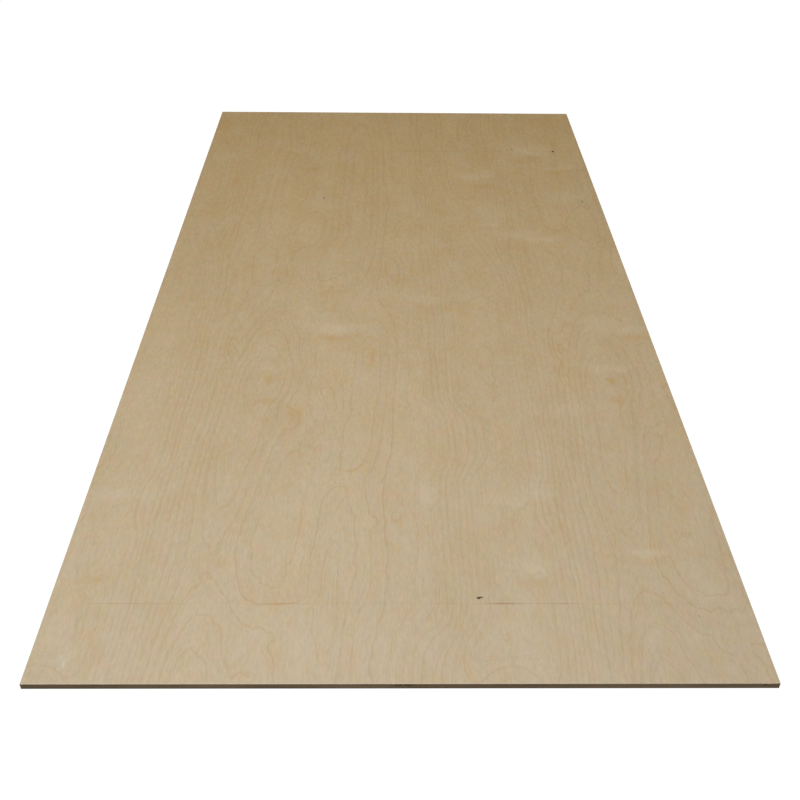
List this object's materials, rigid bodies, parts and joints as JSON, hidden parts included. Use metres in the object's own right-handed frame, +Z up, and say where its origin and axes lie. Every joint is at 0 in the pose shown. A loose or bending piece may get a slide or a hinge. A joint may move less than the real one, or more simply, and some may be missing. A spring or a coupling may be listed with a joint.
{
  "type": "plywood sheet",
  "caption": "Flat rectangular plywood sheet with a pale rotary-cut face and plain sawn edges, for panelling, cabinets, floors and formwork.",
  "frame": {"origin": "middle of the sheet's underside", "axes": "+Z up through the thickness, out of the good face; +Y along the length and the face grain; +X across the grain"},
  "size_m": [1.22, 2.44, 0.012],
  "materials": {
    "face_veneer": "sanded, unfinished, pale rotary-cut face",
    "core_plies": "sawn edge of the inner plies, unfinished"
  },
  "bodies": {
    "root": {"plywood_sheet": "face_veneer"}
  },
  "joints": []
}
